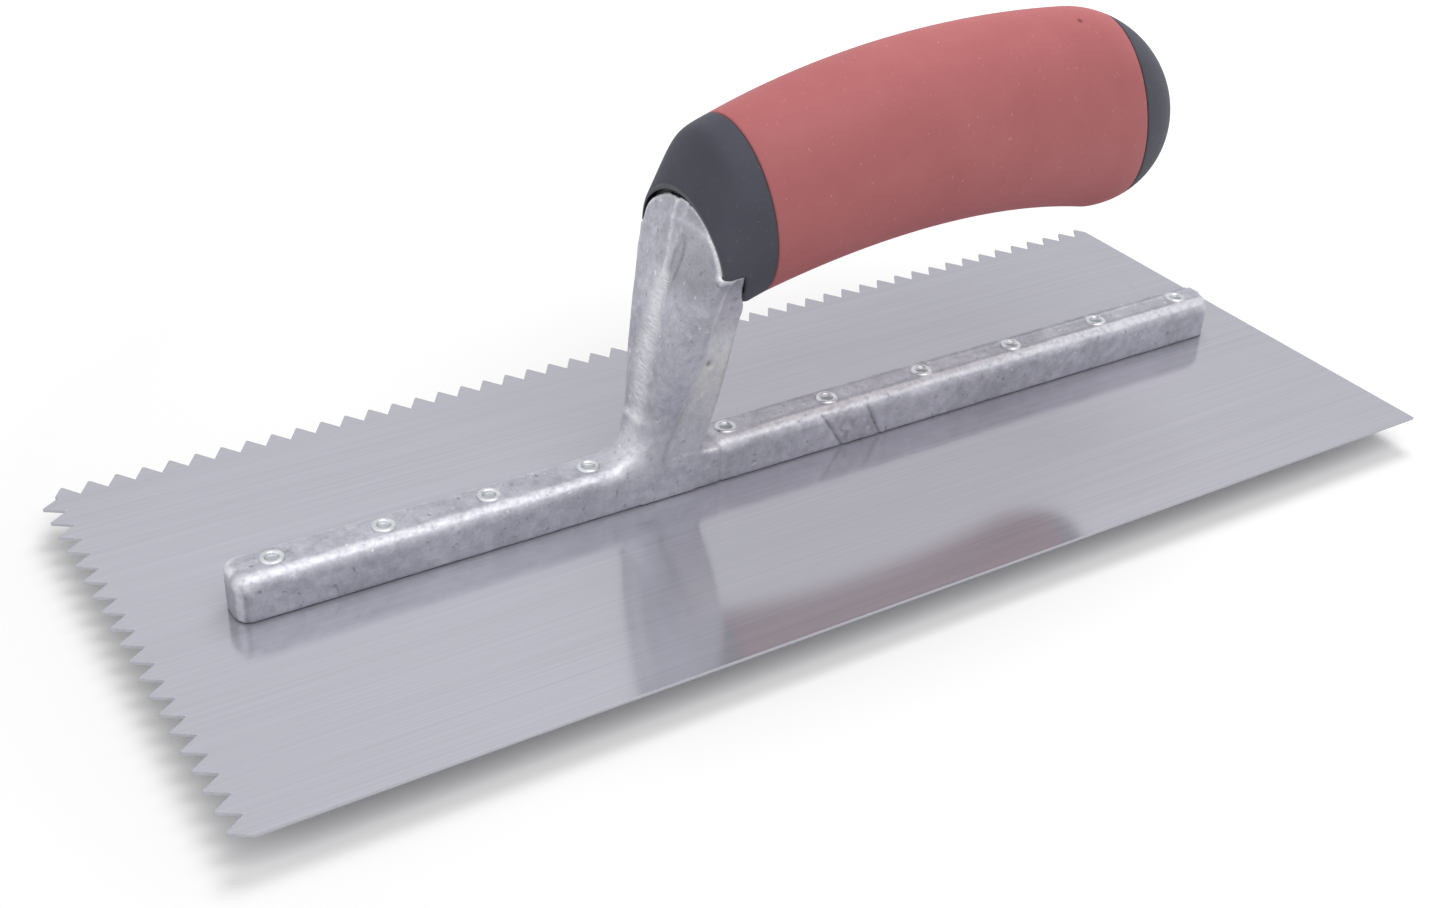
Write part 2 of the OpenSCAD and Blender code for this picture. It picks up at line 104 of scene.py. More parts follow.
NUB_AT, NUB_SIZE, NUB_H = (98.4, -4.2, 64.5), (0.9, 0.9, 0.9), 0.6
GRIP_MARK_AT = (67.6, -4.8, 88.2)

# --- marks on the casting: places and reaches are (x, y, z), lines (x, z) -----
SEAM_H, SEAM_HALF, SEAM_Z = 0.46, 0.5, (44, 50)
GROUND_CUT, GROUND_Z0, GROUND_Z1 = 0.12, (13, 18), (49, 53)
DENT_CUT, DENT_RIM, DENT_HALF_H, DENT_Z = 0.3, 0.28, 5.2, 52.5
PIT_CUT, PIT_AT, PIT_SIZE = 0.6, (-19.4, -4.8, 29.6), (0.55, 2.0, 0.7)
RIDGE_H, CRACK_CUT = 0.24, 0.35
FRONT_CRACK, FRONT_CRACK_HALF = ((10.4, 9.2), (15.8, 0.8)), 0.36
REAR_CRACK, REAR_CRACK_HALF = ((22.4, 8.2), (26.0, 0.8)), 0.46
GATE_X, GATE_Z, GATE_LEAN, GATE_L = 13.1, 5, 0.6, 10.2
NICK_H, NICK_AT, NICK_SIZE = 0.22, (27.3, -4.0, 9.4), (1.0, 0.8, 0.45)
WAVE_H, WAVE_SIZE, RIPPLE_H, RIPPLE_SIZE = 0.08, 9.0, 0.035, 1.8
# Painted light: a lighter patch on the web's near side.
HEEL_SHEEN = (-15, -7, 36), (8, 8, 18)
# Partly wear, partly painted highlight on the bend.
ELBOW_WEAR_AND_SHEEN = (-36.5, -2.8, 13.5), (7.5, 4.4, 6.5)
# Partly wear, partly painted light over the grip's dark reflection on the heel's nose.
NOSE_WEAR_AND_SHEEN = (-14, -2.5, 10.5), (5, 4, 2.5)

# --- stage (metres, watts, degrees) -------------------------------------------
FLOOR_HALF, FLOOR_Z = 4.0, -0.0072
FLOOR_GLOW = [(0.16, (0.1,)), (0.22, (0.2,)), (0.45, (0.38,)), (1.0, (0.7,))]
FILL = 0.36
CAMERA_AT, CAMERA_TURN = (-0.197862, -0.275761, 0.209415), (58.2557, -2.531, -32.3149)
CAMERA_LENS, CAMERA_SENSOR = 46.2766, 36.0


def ease(value, low, high):
    """0 below low and 1 above high, with a smooth step between."""
    k = np.clip((value - low) / (high - low), 0, 1)
    return k * k * (3 - 2 * k)


def bell(d, width):
    """1 where d is 0, fading out on both sides over width."""
    return np.exp(-(d / width) ** 2)


# --- handle form --------------------------------------------------------------


def sag(r, d):
    """How far an arc of radius r falls at d from its top."""
    return r - np.sqrt(r * r - d * d)


def top_at(u):
    fall = -NOSE_U - u
    run = (fall + np.sqrt(fall * fall + NOSE_ROUND ** 2)) / 2
    return CROWN_W - sag(CROWN_R, u - CROWN_U) - math.tan(NOSE_FALL) * run


def bottom_at(u):
    return -BELLY_W - sag(BELLY_R, u - BELLY_U)


def half_at(u):
    flank = sag(FLANK_R, np.maximum(u, 0) - FLANK_U)
    return GRIP_W / 2 - flank - math.tan(COLLAR_FLARE) * np.minimum(u, 0)


def skin_point(u, t, inset):
    """A point of the handle's skin in its own axes: along, across, up."""
    u, t, inset = np.broadcast_arrays(np.asarray(u, float), t, inset)
    d = np.minimum(u, DOME_U)
    past = np.maximum(0, u - DOME_U)
    k = np.sqrt(np.maximum(0, 1 - (past / (DOME_L - inset)) ** 2))
    top, bottom = top_at(d), bottom_at(d)
    mid = (top + bottom) / 2 - math.tan(DOME_FALL) * past
    y = (half_at(d) - inset) * k * np.cos(t)
    w = mid + ((top - bottom) / 2 - inset) * k * np.sin(t)
    return np.stack([u, y, w], -1)


def handle_axes(x, z):
    """The part's x and z to the handle's u and w."""
    c, s = math.cos(GRIP_PITCH), math.sin(GRIP_PITCH)
    return (x - GRIP_X) * c + (z - GRIP_Z) * s, (z - GRIP_Z) * c - (x - GRIP_X) * s


def at_handle(u, w):
    """The handle's u and w to the part's x and z."""
    c, s = math.cos(GRIP_PITCH), math.sin(GRIP_PITCH)
    return GRIP_X + u * c - w * s, GRIP_Z + u * s + w * c


def handle_rows(rows, t):
    """Rows of skin points in the part's frame, from pairs of u and inset."""
    placed = []
    for u, inset in rows:
        p = skin_point(u, t, inset)
        x, z = at_handle(p[..., 0], p[..., 2])
        placed.append(np.stack([x, p[..., 1], z], -1))
    return placed


def seat_u(w):
    """Where the collar's front edge lies at height w."""
    lip = LIP_U + w * math.tan(LIP_LEAN)
    lip_end = LIP_U - LIP_END_W * math.tan(LIP_LEAN)
    ledge = lip_end + (-CUT_U - lip_end) * ease(-w, LIP_END_W, CUT_W)
    cut = -CUT_U + (-w - CUT_W) * math.tan(CUT_LEAN)
    return np.where(w > -LIP_END_W, lip, np.where(w > -CUT_W, ledge, cut))


def lip_wall(rise):
    """The lip's thickness, feathered at its sides. Rise is 1 at its top."""
    return LIP_EDGE + LIP_SWELL * ease(rise, 0.35, 0.95)


def collar_front(t, inset):
    """The collar's first u along each generator, by halving."""
    low = np.full(t.shape, LIP_U - 3.0)
    high = np.zeros(t.shape)
    for _ in range(40):
        u = (low + high) / 2
        ahead = u < seat_u(skin_point(u, t, inset)[..., 2])
        low = np.where(ahead, u, low)
        high = np.where(ahead, high, u)
    return (low + high) / 2


# --- mesh helpers -------------------------------------------------------------


def link(name, data):
    obj = bpy.data.objects.new(name, data)
    bpy.context.scene.collection.objects.link(obj)
    return obj


def mesh_from(name, verts, faces, angle=None):
    mesh = bpy.data.meshes.new(name)
    mesh.from_pydata((np.asarray(verts, float) * MM).tolist(), [], faces)
    mesh.validate()
    mesh.shade_smooth()
    if angle is not None:
        mesh.set_sharp_from_angle(angle=math.radians(angle))
    return link(name, mesh)


def around(n):
    """n equal steps round a circle."""
    return np.arange(n) * 2 * math.pi / n


def round_rows(r):
    """A quarter round in steps: how far along, and how deep below the skin."""
    return [(r * (1 - math.cos(a)), r * (1 - math.sin(a)))
            for a in np.linspace(0, math.pi / 2, 6)]


def loft(name, rows, ends="loop", angle=None):
    """Skins closed rows of points. Ends: loop, or a point at either end."""
    n = len(rows[0])
    verts = np.concatenate(rows)
    faces = []
    last = len(rows) if ends == "loop" else len(rows) - 1
    for i in range(last):
        a, b = i * n, (i + 1) % len(rows) * n
        for j in range(n):
            k = (j + 1) % n
            faces.append((a + j, a + k, b + k, b + j))
    if ends == "points":
        verts = np.concatenate([verts, rows[0].mean(0)[None], rows[-1].mean(0)[None]])
        first, end, b = len(verts) - 2, len(verts) - 1, (len(rows) - 1) * n
        for j in range(n):
            k = (j + 1) % n
            faces.append((first, k, j))
            faces.append((end, b + j, b + k))
    obj = mesh_from(name, verts, faces, angle)
    bm = bmesh.new()
    bm.from_mesh(obj.data)
    bmesh.ops.recalc_face_normals(bm, faces=bm.faces)
    bm.to_mesh(obj.data)
    bm.free()
    return obj


def welded_copy(name, node):
    """A new mesh with a CAD node's faces, its shared corners joined."""
    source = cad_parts[node].data
    mesh = bpy.data.meshes.new(name)
    mesh.from_pydata(
        [v.co[:] for v in source.vertices], [],
        [p.vertices[:] for p in source.polygons],
    )
    bm = bmesh.new()
    bm.from_mesh(mesh)
    bmesh.ops.remove_doubles(bm, verts=bm.verts, dist=2e-6)
    bmesh.ops.recalc_face_normals(bm, faces=bm.faces)
    bm.to_mesh(mesh)
    bm.free()
    return link(name, mesh)


def apply_modifiers(obj):
    """Replaces an object's mesh by the result of its modifiers."""
    graph = bpy.context.evaluated_depsgraph_get()
    mesh = bpy.data.meshes.new_from_object(obj.evaluated_get(graph))
    obj.modifiers.clear()
    old = obj.data
    obj.data = mesh
    bpy.data.meshes.remove(old)


def points_of(obj):
    """An object's points in mm, and their normals."""
    mesh = obj.data
    co = np.zeros(len(mesh.vertices) * 3, np.float32)
    no = np.zeros(len(mesh.vertices) * 3, np.float32)
    mesh.vertices.foreach_get("co", co)
    mesh.vertices.foreach_get("normal", no)
    return co.reshape(-1, 3).astype(float) / MM, no.reshape(-1, 3).astype(float)


def set_points(obj, co):
    obj.data.vertices.foreach_set("co", (co * MM).astype(np.float32).ravel())
    obj.data.update()


def store(obj, name, value):
    """Keeps a number from 0 to 1 for each point, for the paint to read."""
    layer = obj.data.attributes.new(name, "FLOAT", "POINT")
    layer.data.foreach_set("value", np.clip(value, 0, 1).astype(np.float32).ravel())


def rough(co, size, octaves, seed):
    """Smooth noise at each point, about -1 to 1, with that feature size in mm."""
    off = Vector((seed * 17.3, seed * 5.7, seed * 11.1))
    return np.array([
        noise.fractal(Vector(p) / size + off, 1.0, 2.0, octaves) for p in co
    ])


def bump_at(co, centre, reach):
    """A soft dot: 1 at the centre, fading out over reach (mm, per axis)."""
    d = (co - np.asarray(centre)) / np.asarray(reach)
    return np.exp(-(d * d).sum(1))


def line_dist(co, a, b):
    """Distance in the side plane (x, z) from a line between two points."""
    a, b = np.asarray(a, float), np.asarray(b, float)
    p = co[:, [0, 2]] - a
    d = b - a
    k = np.clip(p @ d / (d @ d), 0, 1)
    return np.hypot(*(p - k[:, None] * d).T)


# --- material helpers ---------------------------------------------------------


class Nodes:
    """Adds nodes and links to one node tree."""

    def __init__(self, tree):
        self.tree = tree

    def node(self, kind, **props):
        n = self.tree.nodes.new("ShaderNode" + kind)
        for key, value in props.items():
            setattr(n, key, value)
        return n

    def feed(self, value, socket):
        """Sets a number or a colour on a socket, or links an output to it."""
        if isinstance(value, (int, float)):
            socket.default_value = value
        elif isinstance(value, tuple):
            socket.default_value = (*value, 1)
        else:
            self.tree.links.new(value, socket)

    def math(self, op, a, b):
        n = self.node("Math", operation=op)
        self.feed(a, n.inputs[0])
        self.feed(b, n.inputs[1])
        return n.outputs[0]

    def backdrop(self):
        """1 for rays that show the white backdrop, 0 for those that light by it."""
        path = self.node("LightPath").outputs
        seen = self.math("MAXIMUM", path["Is Camera Ray"], path["Is Glossy Ray"])
        seen = self.math("MAXIMUM", seen, path["Is Transmission Ray"])
        direct = self.math("LESS_THAN", path["Diffuse Depth"], 0.5)
        return self.math("MULTIPLY", seen, direct)


class Paint(Nodes):
    """A small builder for one material."""

    def __init__(self, name):
        self.mat = bpy.data.materials.new(name)
        self.mat.use_nodes = True
        super().__init__(self.mat.node_tree)
        self.bsdf = self.tree.nodes["Principled BSDF"]
        self.coord = self.node("TexCoord").outputs["Object"]
        self.normal = None

    def set(self, **values):
        for key, value in values.items():
            self.bsdf.inputs[key.replace("_", " ")].default_value = value
        return self

    def shade(self, out, socket):
        self.feed(out, self.bsdf.inputs[socket])

    def place(self, scale=(1, 1, 1), turn=(0, 0, 0), move=(0, 0, 0)):
        n = self.node("Mapping")
        n.inputs["Scale"].default_value = scale
        n.inputs["Rotation"].default_value = [math.radians(a) for a in turn]
        n.inputs["Location"].default_value = move
        self.feed(self.coord, n.inputs["Vector"])
        return n.outputs["Vector"]

    def noise(self, scale, detail=4.0, grit=0.55, where=None, warp=0.0):
        n = self.node("TexNoise")
        n.inputs["Scale"].default_value = scale
        n.inputs["Detail"].default_value = detail
        n.inputs["Roughness"].default_value = grit
        n.inputs["Distortion"].default_value = warp
        self.feed(where or self.coord, n.inputs["Vector"])
        return n.outputs["Fac"]

    def attribute(self, name):
        return self.node("Attribute", attribute_name=name).outputs["Fac"]

    def ramp(self, fac, stops):
        """Colours by stops. A stop with one number is a grey."""
        n = self.node("ValToRGB")
        el = n.color_ramp.elements
        while len(el) < len(stops):
            el.new(0.5)
        for e, (pos, col) in zip(el, stops):
            e.position = pos
            e.color = (*col, 1) if len(col) == 3 else (col[0],) * 3 + (1,)
        self.feed(fac, n.inputs["Fac"])
        return n.outputs["Color"]

    def mix(self, fac, a, b):
        n = self.node("Mix", data_type="RGBA", blend_type="MIX")
        for socket, value in ((0, fac), (6, a), (7, b)):
            self.feed(value, n.inputs[socket])
        return n.outputs[2]

    def share(self, a, part, b):
        """The sum of a and b, of which a makes up that part."""
        return self.math("ADD", self.math("MULTIPLY", a, part),
                         self.math("MULTIPLY", b, 1 - part))

    def bump(self, height, depth, strength):
        n = self.node("Bump")
        n.inputs["Strength"].default_value = strength
        n.inputs["Distance"].default_value = depth
        self.feed(height, n.inputs["Height"])
        if self.normal is not None:
            self.feed(self.normal, n.inputs["Normal"])
        self.normal = n.outputs["Normal"]
        self.shade(self.normal, "Normal")


def give(obj, mat):
    obj.data.materials.clear()
    obj.data.materials.append(mat)


def piece(obj, nodes, mat):
    give(obj, mat)
    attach(obj, "root")
    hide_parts(*nodes)
    return obj


# --- materials ----------------------------------------------------------------


def brushed_blade():
    p = Paint("blade_brushed").set(
        Metallic=0.54, Specular_IOR_Level=0.2, Specular_Tint=(0.35, 0.35, 0.35, 1),
        Anisotropic=0.45, Anisotropic_Rotation=0.25)
    hair = p.noise(1.0, 3, 0.65, p.place((14, 2800, 900), move=(0.3, 0.1, 0)))
    cloud = p.noise(14.0, 3, 0.5, p.place((0.5, 1.6, 1)))
    tone = p.share(hair, 0.75, cloud)
    p.shade(p.ramp(tone, [(0.3, (0.452, 0.452, 0.506)),
                          (0.7, (0.536, 0.536, 0.599))]), "Base Color")
    p.shade(p.ramp(hair, [(0.3, (0.09,)), (0.7, (0.16,))]), "Roughness")
    p.bump(hair, 0.00001, 0.03)
    return p.mat


def cast_metal():
    p = Paint("casting_aluminium").set(Metallic=1.0)
    mottle = p.noise(520.0, 4, 0.65)
    grain = p.noise(1900.0, 3, 0.6)
    cloud = p.noise(85.0, 4, 0.6, warp=0.5)
    tone = p.share(mottle, 0.55, cloud)
    skin = p.ramp(tone, [(0.36, (0.39, 0.39, 0.435)), (0.5, (0.475, 0.475, 0.53)),
                         (0.64, (0.57, 0.57, 0.625))])
    pits = p.ramp(p.noise(700.0, 2, 0.5), [(0.27, (1.0,)), (0.33, (0.0,))])
    skin = p.mix(p.math("MULTIPLY", pits, 0.6), skin, (0.24, 0.24, 0.27))
    dots = p.ramp(p.noise(640.0, 2, 0.5, p.place(move=(3, 1, 2))),
                  [(0.69, (0.0,)), (0.74, (1.0,))])
    skin = p.mix(p.math("MULTIPLY", dots, 0.7), skin, (0.74, 0.74, 0.78))

    # Dirt with painted shade, stains, worn edges with painted highlights, and the ground
    # stripe, by what the mesh stores.
    patchy = p.ramp(p.noise(260.0, 4, 0.7), [(0.35, (0.25,)), (0.65, (1.0,))])
    grime_and_shade = p.math("MULTIPLY", p.attribute("grime_and_shade"), patchy)
    # Darkening from the stored dirt and painted shade.
    skin = p.mix(grime_and_shade, skin, (0.16, 0.16, 0.18))
    stain = p.math("MULTIPLY", p.attribute("stain"), patchy)
    skin = p.mix(stain, skin, (0.55, 0.54, 0.48))
    broken = p.ramp(p.noise(700.0, 4, 0.7), [(0.3, (0.2,)), (0.62, (1.0,))])
    # Lightening from the stored wear and painted highlights.
    bright = p.math("MULTIPLY", p.attribute("wear_and_sheen"), broken)
    skin = p.mix(bright, skin, (0.69, 0.69, 0.73))
    ground = p.attribute("ground")
    hatch = p.noise(1.0, 2, 0.6, p.place((500, 420, 2600), turn=(38, 0, 0)))
    cut = p.math("MULTIPLY", ground, p.ramp(hatch, [(0.38, (0.4,)), (0.6, (1.0,))]))
    skin = p.mix(cut, skin, (0.72, 0.72, 0.745))
    p.shade(skin, "Base Color")

    matt = p.ramp(grain, [(0.3, (0.55,)), (0.7, (0.76,))])
    p.shade(p.mix(p.math("MULTIPLY", bright, 0.7), matt, (0.56, 0.56, 0.56)), "Roughness")
    p.bump(mottle, 0.00014, 0.85)
    p.bump(grain, 0.00004, 0.5)
    p.bump(p.math("MULTIPLY", hatch, ground), 0.00008, 0.6)
    return p.mat


def zinc():
    p = Paint("rivet_zinc").set(Metallic=1.0)
    grain = p.noise(1800.0, 3, 0.6)
    cloud = p.noise(500.0, 2, 0.5)
    skin = p.ramp(cloud, [(0.3, (0.55, 0.56, 0.60)), (0.7, (0.71, 0.72, 0.76))])
    dull = p.attribute("dull")
    p.shade(p.mix(dull, skin, (0.40, 0.43, 0.44)), "Base Color")
    matt = p.ramp(grain, [(0.3, (0.28,)), (0.7, (0.44,))])
    p.shade(p.mix(dull, matt, (0.62, 0.62, 0.62)), "Roughness")
    p.bump(grain, 0.00002, 0.4)
    return p.mat


def soft_rubber(name, low, mid, high, speck, mark=None):
    """Matte rubber with specks, a painted highlight on the stored edge rows, and one dark mark
    if asked.
    """
    p = Paint(name).set(Specular_IOR_Level=0.35)
    cloud = p.noise(60.0, 4, 0.6)
    dust = p.noise(900.0, 3, 0.7)
    base = p.ramp(cloud, [(0.3, low), (0.5, mid), (0.72, high)])
    dots = p.ramp(dust, [(0.65, (0.0,)), (0.73, (1.0,))])
    base = p.mix(p.math("MULTIPLY", dots, 0.5), base, speck)
    # Painted light: the stored edge rows, round the collar's lip face, get the pale speck
    # colour.
    base = p.mix(p.math("MULTIPLY", p.attribute("edge"), 0.6), base, speck)
    if mark:
        far = p.node("VectorMath", operation="DISTANCE")
        p.feed(p.coord, far.inputs[0])
        far.inputs[1].default_value = [v * MM for v in mark]
        far_mm = p.math("MULTIPLY", far.outputs["Value"], 1000.0)
        spot = p.ramp(far_mm, [(0.35, (0.85,)), (0.75, (0.0,))])
        base = p.mix(spot, base, low)
        base = p.mix(p.math("MULTIPLY", spot, 0.75), base, (0.03, 0.01, 0.01))
    p.shade(base, "Base Color")
    grain = p.noise(2400.0, 3, 0.6)
    p.shade(p.ramp(grain, [(0.3, (0.58,)), (0.7, (0.75,))]), "Roughness")
    p.bump(grain, 0.00003, 0.5)
    p.bump(cloud, 0.0002, 0.2)
    return p.mat


def hard_plastic():
    p = Paint("core_plastic")
    cloud = p.noise(150.0, 3)
    p.shade(p.ramp(cloud, [(0.3, (0.02, 0.02, 0.022)),
                           (0.7, (0.035, 0.035, 0.038))]), "Base Color")
    p.shade(p.ramp(cloud, [(0.3, (0.45,)), (0.7, (0.6,))]), "Roughness")
    p.bump(p.noise(900.0, 3), 0.00004, 0.4)
    return p.mat


def plated():
    p = Paint("plated_steel").set(Metallic=1.0)
    cloud = p.noise(300.0, 3)
    p.shade(p.ramp(cloud, [(0.3, (0.5, 0.5, 0.5)), (0.7, (0.66, 0.66, 0.65))]), "Base Color")
    p.shade(p.ramp(cloud, [(0.3, (0.25,)), (0.7, (0.4,))]), "Roughness")
    p.bump(p.noise(1200.0, 3), 0.00002, 0.4)
    return p.mat


STEEL, CAST, ZINC = brushed_blade(), cast_metal(), zinc()
DARK = soft_rubber("collar_rubber", (0.057, 0.059, 0.078), (0.063, 0.065, 0.086),
                   (0.071, 0.073, 0.095), (0.16, 0.165, 0.19))
RED = soft_rubber("grip_rubber", (0.435, 0.129, 0.135), (0.46, 0.140, 0.146),
                  (0.485, 0.153, 0.159), (0.66, 0.38, 0.37), mark=GRIP_MARK_AT)
CORE, PLATED = hard_plastic(), plated()

# --- blade --------------------------------------------------------------------


def make_blade():
    obj = welded_copy("blade_sheet", "blade")
    bevel = obj.modifiers.new("edge", "BEVEL")
    bevel.width = BLADE_BEVEL * MM
    bevel.segments = 2
    bevel.limit_method = "ANGLE"
    bevel.angle_limit = BLADE_SHARP
    apply_modifiers(obj)
    mesh = obj.data
    mesh.shade_flat()
    # The map's first axis gives the direction of the brushing.
    uv = mesh.uv_layers.new(name="along_brush")
    for loop in mesh.loops:
        co = mesh.vertices[loop.vertex_index].co
        uv.data[loop.index].uv = (co.x * 3 + 0.5, (co.y + co.z) * 3 + 0.5)
    return piece(obj, ["blade"], STEEL)


# --- casting: distance fields, negative inside --------------------------------


def join(a, b, k):
    """Union of two distance fields with a fillet of about k."""
    h = np.clip(0.5 + 0.5 * (b - a) / k, 0, 1)
    return b + (a - b) * h - k * h * (1 - h)


def meet(a, b, k):
    """Intersection with a rounded edge of about k."""
    return -join(-a, -b, k)


def round_meet(a, b, r):
    """Intersection with an edge of radius r."""
    a, b = a + r, b + r
    return np.hypot(np.maximum(a, 0), np.maximum(b, 0)) + np.minimum(np.maximum(a, b), 0) - r


def edge_r(y):
    """Radius of the rail's top edge on the side of y."""
    return np.where(y < 0, NEAR_EDGE_R, FAR_EDGE_R)


def bar_field(x, y, z, x0, x1, r0, r1):
    """One length of rail, with plan corner radii r0 at x0 and r1 at x1."""
    mid = (x0 + x1) / 2
    r = np.where(x < mid, r0, r1)
    plan = round_meet(np.abs(x - mid) - (x1 - x0) / 2, np.abs(y) - RAIL_W / 2, r)
    return round_meet(plan, z - RAIL_TOP, edge_r(y))


def rail_field(x, y, z):
    """The rail in two lengths, and the lower step between them."""
    front = bar_field(x, y, z, RAIL_X0, HEEL_X, RAIL_CORNER_R, RAIL_CORNER_R)
    rear = bar_field(x, y, z, HEEL_X + HEEL_GAP, RAIL_X1, REAR_CORNER_R, END_CORNER_R)
    base = np.maximum(np.maximum(FOOT_X - x, x - HEEL_X - HEEL_RUN), np.abs(y) - RAIL_W / 2)
    base = np.maximum(base, z - (RAIL_TOP - HEEL_STEP))
    return join(np.minimum(front, rear), base, RAIL_FILLET)


def shank_field(x, y, z):
    """The shank: a shield in front, a web behind, cut along the collar."""
    rim_z = at_handle(LIP_U, -LIP_END_W)[1]
    lip_top = LIP_U + float(top_at(np.array(LIP_U))) * math.tan(LIP_LEAN)
    arch_w = float(top_at(np.array(lip_top))) - SKIN - LIP_GAP
    arch_x, arch_z = at_handle(lip_top, arch_w)
    height = rim_z - RAIL_TOP
    run = (arch_x - SEAT_GAP - FOOT_X) / (arch_z - RAIL_TOP)
    rear_run = (run * height + SHANK_TOP_DEPTH - SHANK_DEPTH) / height
    c = np.clip((z - RAIL_TOP) / height, 0, 1)
    bow = 4 * c * (1 - c)
    front = FOOT_X + run * (z - RAIL_TOP) - FRONT_BOW * bow
    front = front + TIP_BACK * ease(z, arch_z - 10, arch_z + 1)
    rear = HEEL_X + rear_run * (z - RAIL_TOP) + REAR_BOW * bow
    lip_x, lip_z = at_handle(LIP_U, 0)
    lip_run = math.tan(GRIP_PITCH - LIP_LEAN)
    lip = lip_x - (z - lip_z) * lip_run
    rim_depth = lip_x - (rim_z - lip_z) * lip_run - (FOOT_X + run * height)

    # Half width and depth of the shield, by height. Above the rim it fills the lip.
    foot_half = (RAIL_W - FOOT_INSET) / 2
    half = foot_half + (RIM_W / 2 - foot_half) * c ** FLARE_POWER
    depth = LOBE_FOOT + (rim_depth - LOBE_FOOT) * c
    depth = depth + (LOBE_DEPTH - (LOBE_FOOT + rim_depth) / 2) * np.sin(math.pi * c)
    u, w = handle_axes(lip, z)
    middle, tall = (top_at(u) + bottom_at(u)) / 2, (top_at(u) - bottom_at(u)) / 2
    inset = lip_wall((w - middle) / tall) + LIP_SLACK
    inset = inset + ARCH_SLACK * ease(z, arch_z - 6, arch_z)
    across, high = half_at(u) - inset, (w - middle) / (tall - inset)
    over = ease(z, rim_z - 1, rim_z + 2)
    half = half + (across * np.sqrt(np.maximum(0.03, 1 - high ** 2)) - half) * over
    depth = np.maximum(LOBE_MIN_DEPTH, depth + (lip + LIP_OVERLAP - front - depth) * over)
    square = FOOT_SQUARE + (RIM_SQUARE - FOOT_SQUARE) * c ** 3
    square = square + (ARCH_SQUARE - RIM_SQUARE) * ease(z, rim_z - 1, rim_z + 9)

    # The far side stands back a little under the lip.
    shy = np.where(y > 0, FAR_SHY, 0.0) * ease(z, rim_z - 5, rim_z + 0.5)
    half, across = half - shy, across - shy
    back = front + depth
    p = np.maximum(back - x, 0) / depth
    q = np.abs(y) / half
    r = np.maximum((p ** square + q ** square) ** (1 / square), 1e-3)
    steep = np.hypot((p / r) ** (square - 1) / depth, (q / r) ** (square - 1) / half)
    shield = (r - 1) / np.maximum(steep, 1 / 20)
    lobe_end = x - back - LOBE_BACK - LOBE_RISE * ease(z, rim_z - 14, rim_z + 1)
    shield = meet(shield, lobe_end, LOBE_EDGE_R)

    # The web widens towards the ledge under the collar.
    thin = WEB_W / 2
    grow = (HEEL_W / 2 - thin) * np.maximum(0, (z - rim_z + HEEL_FLARE) / HEEL_FLARE) ** 2
    web_half = np.minimum(thin + grow, np.maximum(thin, WEB_SHARE * half))
    web_half = web_half + WEB_SWELL * (1 - ease(z, 12, 20)) - WEB_TUCK * (1 - ease(z, 5.5, 7.5))
    stop = np.maximum(rear - (web_half - thin) / WEB_TAPER, back + WEB_RUN)
    web = meet(np.abs(y) - web_half, x - stop, WEB_EDGE_R)
    web = np.maximum(web, back - WEB_OVERLAP * (1 - ease(z, rim_z - 16, rim_z - 7)) - x)
    body = join(shield, web, WEB_FILLET)
    arch = (np.hypot(y / across, np.maximum(high, 0)) - 1) * tall
    body = np.where(z > rim_z, meet(body, arch, ARCH_EDGE_R), body)
    body = np.maximum(body, SHANK_Z0 - z)

    # The cut that the collar sits against
    along, up = handle_axes(x, z)
    edge = -WEB_EDGE_U - (up + CUT_W) * math.tan(WEB_EDGE_LEAN)
    seat = along - np.minimum(seat_u(up) - SEAT_GAP, edge)
    cut = np.where(up > -LIP_END_W, along - (LIP_U + LIP_HOLLOW) + HOLLOW_GAP, seat)
    body = meet(body, cut, SEAT_EDGE_R)

    # The hollow bend from the rail's top into the shank's front
    lean = math.atan(run - 4 * FRONT_BOW / height)
    bend_x = FOOT_X - BEND_R * (1 - math.sin(lean)) / math.cos(lean)
    bend_z = RAIL_TOP + BEND_R
    far = np.hypot(x - bend_x, z - bend_z)
    bend = round_meet(BEND_R - far, np.abs(y) - foot_half, edge_r(y))
    bend = np.maximum(bend, np.maximum(bend_x - x, z - bend_z + BEND_R * math.sin(lean)))
    bend = np.maximum(bend, x - FOOT_X - 3)
    return join(body, bend, FOOT_FILLET)


def tang_field(x, y, z):
    """The tapered tang inside the handle, with the hole for its screw."""
    along, up = handle_axes(x, z)
    tip_w = (top_at(DOME_U) + bottom_at(DOME_U)) / 2 - math.tan(DOME_FALL) * (TIP_U - DOME_U)
    fall = math.atan((TANG_W - tip_w) / (TIP_U - LIP_U))
    du, dw = along - LIP_U, up - TANG_W
    s = du * math.cos(fall) - dw * math.sin(fall)
    rad = np.hypot(y, du * math.sin(fall) + dw * math.cos(fall))
    slim = (s + TANG_ROOT_L) / (TANG_L + TANG_ROOT_L)
    tang = rad - (TANG_ROOT_D + (TANG_END_D - TANG_ROOT_D) * slim) / 2
    tang = np.maximum(tang, np.maximum(-TANG_ROOT_L - s, s - TANG_L))
    hole = np.maximum(rad - TANG_HOLE_R, TANG_HOLE_AT - s)
    return np.maximum(tang, -hole)


